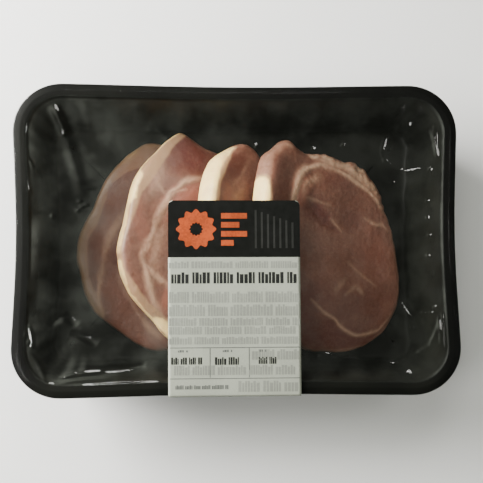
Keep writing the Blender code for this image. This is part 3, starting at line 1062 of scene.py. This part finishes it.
    def build(self, material: bpy.types.Material) -> bpy.types.Object:
        """Builds the chop from its hub out to the edge over the face, and back to the hub underneath.

        Args:
            material: The meat's finish.

        Returns:
            The chop.
        """
        turn, reach = self.reach()
        near, depth = self.edge_rows()
        near = near[1:]
        depth = depth[1:]
        width = float(np.max(self.hub + reach * np.cos(turn)))
        picks = np.unique(np.round(self.rows_top * (1.0 - np.linspace(0.0, 1.0, self.rows_under + 1)[:-1] ** 1.6)))
        under = (picks.astype(int) - 1)[::-1]
        under = under[(under >= 0) & (under < self.rows_top - 1)]
        fraction = np.concatenate([near, near[under]])
        side = np.concatenate([depth, -depth[under]])
        across = self.hub + fraction[:, None] * (reach * np.cos(turn))
        along = fraction[:, None] * (reach * np.sin(turn))
        edge = (1.0 - fraction[:, None]) * reach
        masks, ridge = self.shares(across, along, edge)
        face = np.concatenate([np.ones(len(near)), np.zeros(len(under))])[:, None]
        lift = side[:, None] * self.half_depth(across, along, width)
        wall = ease((np.abs(side[:, None]) - 0.55) / 0.4)
        lift = lift + self.relief(across, along, edge, ridge) * face * wall
        points = self.bend(across, along, lift).reshape(-1, 3)
        hub_across = np.full(1, self.hub)
        hub_along = np.zeros(1)
        hub_depth = self.half_depth(hub_across, hub_along, width)
        hub_lift = hub_depth + self.relief(hub_across, hub_along, reach[:1], np.zeros(1))
        hubs = np.vstack([
            self.bend(hub_across, hub_along, hub_lift),
            self.bend(hub_across, hub_along, -hub_depth),
        ])
        rows = len(fraction)
        quads = grid_faces(rows, self.around, True)
        first = np.arange(self.around)
        last = (rows - 1) * self.around + first
        triangles = np.vstack([
            fan_faces(len(points), first, False),
            fan_faces(len(points) + 1, last, True),
        ])
        piece = Piece(f"{self.name}_meat", Slot.MEAT, material, (self.name,))
        ob = piece.make(np.vstack([points, hubs]), quads, triangles)
        plain = face * wall
        add_share(ob, "painted_light_level", np.full(len(ob.data.vertices), self.painted_light_level))
        for mask, values in masks.items():
            if mask in (Mask.DEEP_AND_SHADE, Mask.BLUSH_AND_LIGHT):
                values = values * plain
            if mask is Mask.SINEW:
                values = values * (0.35 + 0.65 * plain)
            flat = values.reshape(-1)
            add_share(ob, mask.value, np.concatenate([flat, flat[:1], flat[-1:]]))
        return ob


CHOPS = (
    Chop(
        name="chop_1", rim_x=-88.0, rim_z=11.1, leans=(8, 4, 1, 0, 0, 2, 5, 9, 9, 4), thick=(13.6, 13.0, 8.5), seed=101,
        # painted shade: chop_1's flesh and rim fat are darkened as if in the tray wall's shadow
        painted_light_level=0.35, rim_fat_and_shade=0.54, edge_pale=0.3,
        outline=(
            (1, -6), (2, 3), (6, 13), (10, 20), (13, 28), (17, 36), (24, 45), (31, 51.5), (40, 56.5), (54, 53.5),
            (68, 44), (77, 28), (82, 6), (82, -18), (77, -38), (66, -53), (49, -59), (38, -57), (27, -50),
            (17, -42.5), (11, -37.5), (6, -28), (2.5, -15),
        ),
        rim_line=(
            (60, 53), (50, 46), (36, 42), (28, 39), (20, 33), (16, 22), (13, 11), (8, 3), (7, -8), (8, -18),
            (12, -27), (17, -38), (16, -41), (6, -47),
        ),
        seams=(
            Seam(((28, 16), (24, 11), (20, 4), (17, -5), (15, -12)), 3.0, 0.5, 0.15),
            Seam(((16, -8), (14, -19), (13, -29), (15, -37)), 2.0, 0.55, 0.1),
            Seam(((25, -14), (27, -22), (33, -34), (38, -43)), 2.4, 0.3, 0.1),
            Seam(((36, -40), (41, -46), (47, -51)), 2.0, 0.6, 0.1),
        ),
        patches=(
            Patch(Mask.DEEP_AND_SHADE, (24, 24), (9, 14), -40, 0.45, -0.2),
            Patch(Mask.DEEP_AND_SHADE, (12, -6), (4, 14), 5, 0.45),
            Patch(Mask.DEEP_AND_SHADE, (24, -8), (6, 9), 0, 0.35),
            Patch(Mask.FAT, (30, 52), (12, 5), 40, 0.62),
        ),
    ),
    Chop(
        name="chop_2", rim_x=-63.5, rim_z=28.9, leans=(21, 13, 6, 4, 9, 18, 29, 33, 22, 5), thick=(14.2, 13.0, 8.5),
        # painted shade: chop_2's flesh is darkened to its shaded look
        seed=202, painted_light_level=0.67, rim_fat_and_shade=0.78, rim_edge=1.0, edge_pale=0.4,
        outline=(
            (0, -6), (1, 2), (3.5, 11), (5.5, 21), (8, 31), (11, 38), (14.5, 43), (20, 49), (28, 57), (35, 60.5),
            (46, 53), (60, 47), (73, 34), (80, 14), (82, -10), (79, -32), (68, -48), (52, -57), (36, -56.5),
            (25, -50), (18, -41), (11, -33.5), (6, -26.5), (2, -17),
        ),
        rim_line=(
            (37, 59), (32, 54), (28, 49), (24, 42), (18, 33), (13, 27), (9, 18), (5, 8), (2, 0), (1, -7),
            (3, -15), (8, -22), (13, -28), (17, -33), (22, -37), (28, -43), (33, -52),
        ),
        seams=(
            Seam(((45, 35), (38, 33), (33, 30), (28, 26), (26, 21), (21, 12)), 2.1, 0.85, 0.3),
            Seam(((23, 16), (19, 7), (16, -1), (12, -7), (13, -13)), 2.0, 0.6, 0.15),
            Seam(((12, -8), (15, -16), (17, -25), (19, -32), (23, -38)), 2.4, 0.8, 0.2),
            Seam(((24, 8), (20, -4), (18, -16)), 4.4, 0.35, 0.1),
            Seam(((15, -12), (19, -17), (27, -23)), 2.0, 0.65, 0.15),
            Seam(((37, 28), (32, 27), (28, 23)), 1.2, 0.6, 0.2),
            Seam(((19, 36), (22, 31), (25, 26)), 1.6, 0.4, 0.1),
            Seam(((24, 44), (22, 34), (17, 24)), 3.4, 0.3),
        ),
        patches=(
            Patch(Mask.BLUSH_AND_LIGHT, (38, 22), (12, 8), 20, 0.85, 0.5),
            Patch(Mask.BLUSH_AND_LIGHT, (27, -30), (4, 12), -25, 0.6),
            Patch(Mask.BLUSH_AND_LIGHT, (12, 8), (4, 14), 10, 0.3),
            Patch(Mask.FAT, (7, 31), (5, 18), -18, 0.84),
            Patch(Mask.FAT, (25, -46), (4, 9), 42, 0.86),
            Patch(Mask.DEEP_AND_SHADE, (44, 8), (16, 22), 0, 0.35),
            # painted shade over the top of chop_2
            Patch(Mask.DEEP_AND_SHADE, (38, 49), (17, 12), -30, 1.0, -0.2),
        ),
    ),
    Chop(
        name="chop_3", rim_x=-18.5, rim_z=43.9, leans=(55, 40, 30, 32, 33, 28, 20, 13, 6, -1), thick=(14.6, 12.8, 8.5),
        back_swell=0.12, seed=303,
        outline=(
            (0, 2), (2, 20), (5, 34), (10, 44), (18, 50), (27, 54), (33, 52), (39, 47), (52, 46), (66, 41),
            (77, 27), (83, 6), (84, -18), (79, -38), (67, -52), (50, -58), (32, -55), (17, -44), (7, -30),
            (1, -14),
        ),
        rim_line=(
            (24, 54), (18, 48), (12, 38), (8, 29), (5, 18), (4, 0), (5, -14), (10, -30), (20, -44), (30, -54),
        ),
        seams=(
            Seam(((26, 30), (18, 20), (14, 6)), 3.0, 0.12, 0.1),
            Seam(((30, 46), (24, 36), (18, 30)), 1.8, 0.15, 0.1),
        ),
        patches=(
            Patch(Mask.DEEP_AND_SHADE, (20, 40), (11, 7), 55, 0.5),
            Patch(Mask.BLUSH_AND_LIGHT, (13, 16), (5, 12), 0, 0.35),
        ),
    ),
    Chop(
        name="chop_4", rim_x=10.5, rim_z=43.8, leans=(54, 43, 32, 24, 21, 21, 22, 20, 13, 4), thick=(14.6, 13.0, 9.2),
        # painted shade: chop_4's face, turned away from the light, is darkened
        seed=404, painted_light_level=0.76, ragged=0.3, fringe=(52.0, 42.0, 1.5), edge_pale=0.5,
        outline=(
            (0, 2), (2, 20), (5, 36), (9, 46), (15, 51), (22, 56), (28, 52), (35, 49), (48, 49), (57, 46),
            (70, 43), (79, 31), (86, 14), (91, -10), (92, -27), (89, -39), (80, -51), (64, -59), (47, -60),
            (33, -58), (19, -48), (8, -34), (2, -16),
        ),
        rim_line=(
            (0, 54), (2, 48), (4, 41), (5, 34), (5, 24), (4, 8), (4, -14), (9, -33), (16, -47), (22, -57),
        ),
        seams=(
            Seam(((22, 17), (22, 22), (24, 29), (28, 36), (33, 40), (40, 42), (47, 42)), 3.0, 1.0, 0.45),
            Seam(((23, 20), (25, 28), (29, 34)), 3.2, 0.9, 0.1),
            Seam(((29, 24), (32, 31), (40, 36)), 3.6, 0.5, 0.2),
            Seam(((44, 42), (52, 40), (59, 37), (65, 33), (72, 29), (78, 24), (82, 18)), 1.5, 0.75, 0.2),
            Seam(((40, 46), (50, 44), (60, 41), (70, 35), (80, 26)), 3.4, 0.8, 0.3),
            Seam(((12, 48), (18, 53), (24, 52)), 2.0, 0.6, 0.2),
            Seam(((30, 24), (39, 22), (47, 20)), 1.2, 0.3, 0.1),
            Seam(((48, 12), (54, 6)), 1.3, 0.35, 0.1),
            Seam(((69, 14), (77, 10), (82, 10), (85, 7)), 1.3, 0.4, 0.1),
            Seam(((58, -11), (67, -18), (76, -24)), 1.3, 0.25, 0.1),
            Seam(((56, -20), (49, -28)), 2.2, 0.22, 0.1),
            Seam(((64, -24), (55, -29)), 1.6, 0.25, 0.1),
            Seam(((64, -25), (67, -28)), 1.8, 0.3, 0.1),
            Seam(((34, -31), (42, -38), (49, -42), (54, -47), (64, -51), (75, -49), (82, -44), (87, -39)), 1.1, 0.5, 0.2),
        ),
        patches=(
            Patch(Mask.DEEP_AND_SHADE, (40, 16), (12, 4), -40, 0.9, -0.5),
            Patch(Mask.DEEP_AND_SHADE, (60, 13), (8, 6), -40, 0.5, -0.2),
            Patch(Mask.DEEP_AND_SHADE, (38, -50), (20, 12), -12, 0.85),
            Patch(Mask.DEEP_AND_SHADE, (66, -58), (22, 5), 8, 0.9),
            Patch(Mask.BLUSH_AND_LIGHT, (74, -4), (10, 14), 0, 0.2),
            Patch(Mask.DEEP_AND_SHADE, (50, 35), (14, 5), -20, 0.4),
            Patch(Mask.DEEP_AND_SHADE, (14, 36), (5, 12), 0, 0.35),
            Patch(Mask.DEEP_AND_SHADE, (52, -34), (30, 12), -8, 0.4),
            # painted light: a brighter patch where the face turns towards the light
            Patch(Mask.BLUSH_AND_LIGHT, (28, 28), (6, 10), -10, 0.9, 0.8),
            Patch(Mask.DEEP_AND_SHADE, (30, -38), (12, 16), 0, 0.75),
            Patch(Mask.DEEP_AND_SHADE, (54, -54), (30, 8), -6, 0.9),
            Patch(Mask.DEEP_AND_SHADE, (36, 18), (10, 6), -40, 0.8),
            Patch(Mask.SINEW, (38, 48), (3.0, 2.0), 0, 1.0),
            Patch(Mask.SINEW, (47, 47), (4.0, 2.2), -10, 1.0),
            Patch(Mask.SINEW, (58, 44), (3.0, 2.4), -30, 1.0),
            Patch(Mask.SINEW, (68, 41), (4.5, 2.2), -35, 1.0),
            Patch(Mask.SINEW, (76, 33), (3.0, 2.0), -50, 1.0),
        ),
    ),
)


# ---------------------------------------------------------------- label


@dataclass(frozen=True)
class Block:
    """A printed rectangle: left and right from the label's left edge, top and bottom down its length, in mm."""

    left: float
    right: float
    top: float
    bottom: float


@dataclass
class Label:
    """The label: a thin bent strip over the lid, down over the front of the rim, with its print as thin fields."""

    bend_radius: float = 1.2 * MM
    corner: float = 2.6 * MM
    thick: float = 0.16 * MM
    ink_lift: float = 0.05 * MM
    wave: float = 0.07 * MM
    header: float = 29.6

    def __post_init__(self) -> None:
        """Reads the label's place from the frame."""
        self.low, self.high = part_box("label")
        self.width = self.high.x - self.low.x
        self.flat_run = self.high.y - (self.low.y + self.bend_radius)
        self.drop = self.high.z - self.low.z - self.bend_radius
        self.length = self.flat_run + 0.5 * math.pi * self.bend_radius + self.drop

    def half_width(self, down: np.ndarray) -> np.ndarray:
        """Half the label's width: less by a quarter circle at its top corners."""
        near = np.clip(self.corner - down, 0.0, self.corner)
        return self.width / 2.0 - (self.corner - np.sqrt(self.corner ** 2 - near ** 2))

    def place(self, across: np.ndarray, down: np.ndarray, lift: float) -> np.ndarray:
        """Points on the label: flat, then a quarter turn about the bend, then straight down.

        Args:
            across: Distance from the label's left edge.
            down: Distance along its path from its top edge.
            lift: Distance off its outer face.

        Returns:
            The points in the frame.
        """
        turn = np.clip((down - self.flat_run) / self.bend_radius, 0.0, 0.5 * math.pi)
        beyond = np.maximum(down - self.flat_run - 0.5 * math.pi * self.bend_radius, 0.0)
        flat = np.minimum(down, self.flat_run)
        fade = ease((self.flat_run - down) / (12.0 * MM)) * ease(down / (6.0 * MM))
        rise = self.wave * layered_noise(across, down, 22.0 * MM, 61, 2) * fade
        radius = self.bend_radius + lift + rise
        hub_y = self.high.y - self.flat_run
        hub_z = self.high.z - self.bend_radius
        half = self.half_width(down)
        middle = 0.5 * (self.low.x + self.high.x)
        x = middle + np.clip(across - self.width / 2.0, -half, half)
        y = hub_y + (self.flat_run - flat) - radius * np.sin(turn)
        z = hub_z + radius * np.cos(turn) - beyond
        return np.stack([x, y, z], axis=-1)

    def patch(self, block: Block, lift: float, step: float = 2.0) -> tuple[np.ndarray, np.ndarray]:
        """A grid over a block that follows the label's face.

        Args:
            block: The block's place.
            lift: Distance off the face.
            step: Largest cell size, in mm.

        Returns:
            The points and the quads.
        """
        columns = max(2, int(math.ceil((block.right - block.left) / step)) + 1)
        rows = max(2, int(math.ceil((block.bottom - block.top) / step)) + 1)
        across, down = np.meshgrid(
            np.linspace(block.left, block.right, columns) * MM,
            np.linspace(block.top, block.bottom, rows) * MM,
        )
        return self.place(across, down, lift).reshape(-1, 3), grid_faces(rows, columns, False)

    def paper(self, finish: PrintFinish) -> bpy.types.Object:
        """The paper: an outer and an inner face, joined all round."""
        columns = 48
        downs = np.concatenate([
            self.corner * (1.0 - np.cos(np.linspace(0.0, 0.5 * math.pi, 10)))[:-1],
            np.linspace(self.corner, self.flat_run, 70)[:-1],
            np.linspace(self.flat_run, self.flat_run + 0.5 * math.pi * self.bend_radius, 9)[:-1],
            np.linspace(self.flat_run + 0.5 * math.pi * self.bend_radius, self.length, 6),
        ])
        half = self.half_width(downs)[:, None]
        across = self.width / 2.0 + half * np.linspace(-1.0, 1.0, columns)
        down = np.repeat(downs[:, None], columns, axis=1)
        outer = self.place(across, down, 0.0)
        inner = self.place(across, down, -self.thick)
        rows = len(downs)
        loop_top = np.concatenate([
            np.arange(columns),
            np.arange(1, rows) * columns + columns - 1,
            (rows - 1) * columns + np.arange(columns - 2, -1, -1),
            np.arange(rows - 2, 0, -1) * columns,
        ])
        count = rows * columns
        after = np.roll(loop_top, -1)
        skirt = np.stack([loop_top, after, after + count, loop_top + count], axis=-1)
        quads = np.vstack([
            grid_faces(rows, columns, False),
            grid_faces(rows, columns, False, count)[:, ::-1],
            skirt,
        ])
        points = np.vstack([outer.reshape(-1, 3), inner.reshape(-1, 3)])
        return Piece("label_paper", Slot.LABEL, finish.build(), ("label",)).make(points, quads)

    def fields(self, name: str, finish: PrintFinish, patches: list[tuple[np.ndarray, np.ndarray]]) -> bpy.types.Object:
        """Joins printed patches of one colour into one piece."""
        points = []
        quads = []
        first = 0
        for patch_points, patch_quads in patches:
            points.append(patch_points)
            quads.append(patch_quads + first)
            first += len(patch_points)
        return Piece(name, Slot.LABEL, finish.build()).make(np.vstack(points), np.vstack(quads))

    def word_row(self, top: float, height: float, left: float, right: float, seed: int,
                 words: tuple[float, float], strokes: float) -> list[tuple[np.ndarray, np.ndarray]]:
        """A row of plain bars, grouped as words are, that fills a width.

        Args:
            top: The row's top, in mm down the label.
            height: The bars' height.
            left: The row's start.
            right: The row's end.
            seed: Seed of the bars' widths.
            words: Least and most bars in a group.
            strokes: Mean width of a bar.

        Returns:
            The patches.
        """
        rng = np.random.default_rng(seed)
        patches = []
        x = left
        while x < right - strokes:
            for _ in range(int(rng.integers(words[0], words[1] + 1))):
                wide = strokes * rng.uniform(0.6, 1.4)
                if x + wide > right:
                    break
                inset = height * rng.choice([0.0, 0.0, 0.18])
                block = Block(x, x + wide, top + inset, top + height)
                patches.append(self.patch(block, self.ink_lift, 4.0))
                x += wide + 0.35 * strokes
            x += 1.1 * strokes
        return patches

    def rosette(self, centre: tuple[float, float], radius: float, scallops: int) -> tuple[np.ndarray, np.ndarray]:
        """A scalloped disc with an open middle: a ring whose outer radius swings with the cosine of the turn."""
        turn = np.linspace(0.0, 2.0 * math.pi, 180, endpoint=False)
        share = np.linspace(0.34, 1.0, 6)[:, None]
        outer = radius * (1.0 + 0.09 * np.cos(scallops * turn))
        across = (centre[0] + share * outer * np.cos(turn)) * MM
        down = (centre[1] + share * outer * np.sin(turn)) * MM
        points = self.place(across, down, 2.0 * self.ink_lift).reshape(-1, 3)
        return points, grid_faces(6, 180, True)[:, ::-1]

    def build(self) -> None:
        """Builds the paper and its printed fields: header, motif, pale rows, dark rows and rules."""
        right = self.width / MM
        self.paper(PrintFinish("label_paper", (0.275, 0.292, 0.240)))
        self.fields("label_header", PrintFinish("label_black", (0.0034, 0.0038, 0.0031), 0.12, 0.42, 0.14),
                    [self.patch(Block(0.0, right, 0.0, self.header), self.ink_lift, 1.3)])
        motif = [self.rosette((14.5, 15.0), 9.6, 12)]
        for k, (start, end) in enumerate(((27.5, 41.0), (27.5, 37.0), (27.5, 41.0), (27.5, 34.0))):
            top = 6.6 + 4.7 * k
            motif.append(self.patch(Block(start, end, top, top + 2.9), 2.0 * self.ink_lift))
        self.fields("label_motif", PrintFinish("label_orange", (0.290, 0.046, 0.009), 0.25, 0.45, 0.25), motif)
        stripes = []
        for k in range(7):
            left = 45.0 + 3.2 * k
            stripes.append(self.patch(Block(left, left + 1.1, 5.0 + 1.1 * k, 25.0), 2.0 * self.ink_lift))
        self.fields("label_header_stripes", PrintFinish("label_soft_black", (0.013, 0.0135, 0.012), 0.15, 0.42, 0.25), stripes)
        pale = []
        rows = ((31.8, 3.5), (47.5, 5.6), (54.2, 5.8), (61.0, 4.0), (65.5, 3.9), (70.8, 3.7))
        for k, (top, height) in enumerate(rows):
            pale += self.word_row(top, height, 0.5, right - 0.4, 300 + k, (7, 14), 1.05)
        pale += self.word_row(77.4, 5.2, 43.0, right - 0.4, 330, (6, 11), 1.05)
        pale += self.word_row(85.4, 4.9, 3.0, right - 0.4, 331, (6, 12), 1.05)
        pale += self.word_row(93.4, 5.6, 36.0, right - 0.4, 332, (5, 9), 1.25)
        self.fields("label_pale_rows", PrintFinish("label_grey", (0.190, 0.200, 0.170), 0.10), pale)
        dark = self.word_row(37.4, 5.8, 1.6, right - 0.6, 401, (4, 7), 1.35)
        dark += self.word_row(81.2, 3.6, 1.5, 18.0, 402, (3, 4), 0.75)
        dark += self.word_row(81.2, 3.9, 24.0, 37.0, 403, (4, 6), 0.85)
        dark += self.word_row(81.2, 3.6, 46.5, 56.5, 404, (2, 5), 0.75)
        self.fields("label_dark_rows", PrintFinish("label_ink", (0.008, 0.0085, 0.008), 0.15, 0.42, 0.3), dark)
        rules = [
            Block(0.8, right - 0.6, 76.1, 76.5), Block(0.8, right - 0.6, 91.9, 92.3),
            Block(21.3, 21.7, 76.2, 91.6), Block(41.5, 41.9, 76.2, 91.6),
        ]
        thin = [self.patch(block, self.ink_lift, 4.0) for block in rules]
        thin += self.word_row(95.4, 2.1, 3.7, 31.0, 405, (5, 9), 0.55)
        thin += self.word_row(77.4, 1.2, 5.0, 11.0, 406, (3, 3), 0.8)
        thin += self.word_row(77.4, 1.2, 28.0, 34.0, 407, (3, 3), 0.8)
        thin += self.word_row(77.4, 1.2, 47.0, 51.0, 408, (2, 2), 0.8)
        self.fields("label_rules", PrintFinish("label_rule_grey", (0.085, 0.090, 0.082), 0.12), thin)


# ---------------------------------------------------------------- stage, lights and camera


@dataclass(frozen=True)
class Studio:
    """A pale floor, a soft low key light from the back left, a faint glow overhead, and the camera above."""

    floor_size: float = 3.0
    floor_colour: tuple[float, float, float] = (0.86, 0.86, 0.85)
    key_turn: float = 155.0
    key_rise: float = 25.5
    key_distance: float = 0.70
    key_sides: tuple[float, float] = (0.50, 0.30)
    key_power: float = 24.5
    # weak lamps that the film's creases mirror: turn, rise, sides, power
    glints: tuple = (
        (204.0, 58.0, (0.26, 0.26), 2.00), (92.0, 57.0, (0.40, 0.20), 1.70), (14.0, 57.0, (0.20, 0.24), 0.90),
        (-15.0, 36.0, (0.50, 0.40), 0.50),
    )
    key_colour: tuple[float, float, float] = (1.0, 0.985, 0.95)
    sky: float = 0.15
    glow: float = 1.1
    glow_centre: tuple[float, float, float] = (-0.45, 0.21, 0.87)
    glow_reach: float = 0.60
    camera_over_rim: float = 0.550
    camera_x: float = -0.0311
    camera_y: float = -0.0425
    camera_turns: tuple[float, float, float] = (4.29, -3.39, -0.38)
    lens: float = 79.07

    def floor(self) -> None:
        """The plain floor just under the tray."""
        half = self.floor_size / 2.0
        level = CAD_LOW.z - 0.3 * MM
        mesh = bpy.data.meshes.new("floor")
        corners = [(-half, -half, level), (half, -half, level), (half, half, level), (-half, half, level)]
        mesh.from_pydata(corners, [], [(0, 1, 2, 3)])
        g = Graph("floor_paint")
        shade = g.noise(6.0, 2.0)
        low = tuple(0.98 * c for c in self.floor_colour)
        colour = g.mix(shade, low, self.floor_colour)
        shader = g.add("ShaderNodeBsdfPrincipled", Base_Color=colour, Roughness=0.7)
        mesh.materials.append(g.finish(shader.outputs[0]))
        ob = bpy.data.objects.new("floor", mesh)
        bpy.context.scene.collection.objects.link(ob)

    def world(self) -> None:
        """The surroundings: an even dim grey with a soft glow round one direction overhead."""
        world = bpy.data.worlds.new("studio")
        world.use_nodes = True
        bpy.context.scene.world = world
        tree = world.node_tree
        background = tree.nodes["Background"]
        background.inputs["Color"].default_value = (0.94, 1.0, 0.84, 1.0)
        direction = tree.nodes.new("ShaderNodeTexCoord").outputs["Generated"]
        away = tree.nodes.new("ShaderNodeVectorMath")
        away.operation = "DISTANCE"
        away.inputs[1].default_value = self.glow_centre
        tree.links.new(direction, away.inputs[0])
        fall = tree.nodes.new("ShaderNodeMapRange")
        fall.interpolation_type = "SMOOTHSTEP"
        fall.inputs[1].default_value = 0.0
        fall.inputs[2].default_value = self.glow_reach
        fall.inputs[3].default_value = self.sky + self.glow
        fall.inputs[4].default_value = self.sky
        tree.links.new(away.outputs["Value"], fall.inputs[0])
        tree.links.new(fall.outputs[0], background.inputs["Strength"])

    def area(self, name: str, turn: float, rise: float, distance: float, size: tuple[float, float],
             power: float) -> None:
        """An area light aimed at the middle of the pack.

        Args:
            name: The light's name.
            turn: Its direction in plan, in degrees from +X.
            rise: Its height above the horizon, in degrees.
            distance: Its distance from the middle.
            size: Its two sides.
            power: Its power in watts.
        """
        data = bpy.data.lights.new(name, "AREA")
        data.shape = "RECTANGLE"
        data.size, data.size_y = size
        data.energy = power
        data.color = self.key_colour
        ob = bpy.data.objects.new(name, data)
        a = math.radians(turn)
        e = math.radians(rise)
        back = Vector((math.cos(a) * math.cos(e), math.sin(a) * math.cos(e), math.sin(e)))
        ob.location = (CAD_LOW + CAD_HIGH) / 2.0 + back * distance
        ob.rotation_euler = back.to_track_quat("Z", "Y").to_euler()
        bpy.context.scene.collection.objects.link(ob)

    def camera(self) -> None:
        """The camera, almost straight above the pack."""
        data = bpy.data.cameras.new("camera")
        data.lens = self.lens
        data.sensor_width = 36.0
        data.clip_start = 0.01
        ob = bpy.data.objects.new("camera", data)
        tilt, roll, turn = (math.radians(value) for value in self.camera_turns)
        rotation = Matrix.Rotation(turn, 4, "Z") @ Matrix.Rotation(roll, 4, "Y") @ Matrix.Rotation(tilt, 4, "X")
        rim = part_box("tray")[1].z
        ob.matrix_world = Matrix.Translation((self.camera_x, self.camera_y, rim + self.camera_over_rim)) @ rotation
        bpy.context.scene.collection.objects.link(ob)
        bpy.context.scene.camera = ob

    def build(self) -> None:
        """Builds the stage, the lights and the camera."""
        self.camera()
        self.floor()
        self.world()
        self.area("key", self.key_turn, self.key_rise, self.key_distance, self.key_sides, self.key_power)
        for k, (turn, rise, sides, power) in enumerate(self.glints):
            self.area(f"glint_{k}", turn, rise, 0.9, sides, power)


def main() -> None:
    """Builds the studio, then the pack from the tray upwards."""
    logging.basicConfig(level=logging.INFO, format="%(name)s: %(message)s")
    Studio().build()
    tray = Tray()
    tray.build(TrayFinish())
    meat = MeatFinish().build()
    for chop in CHOPS:
        chop.build(meat)
    Film().build(tray, FilmFinish())
    Label().build()


if __name__ == "__main__":
    main()
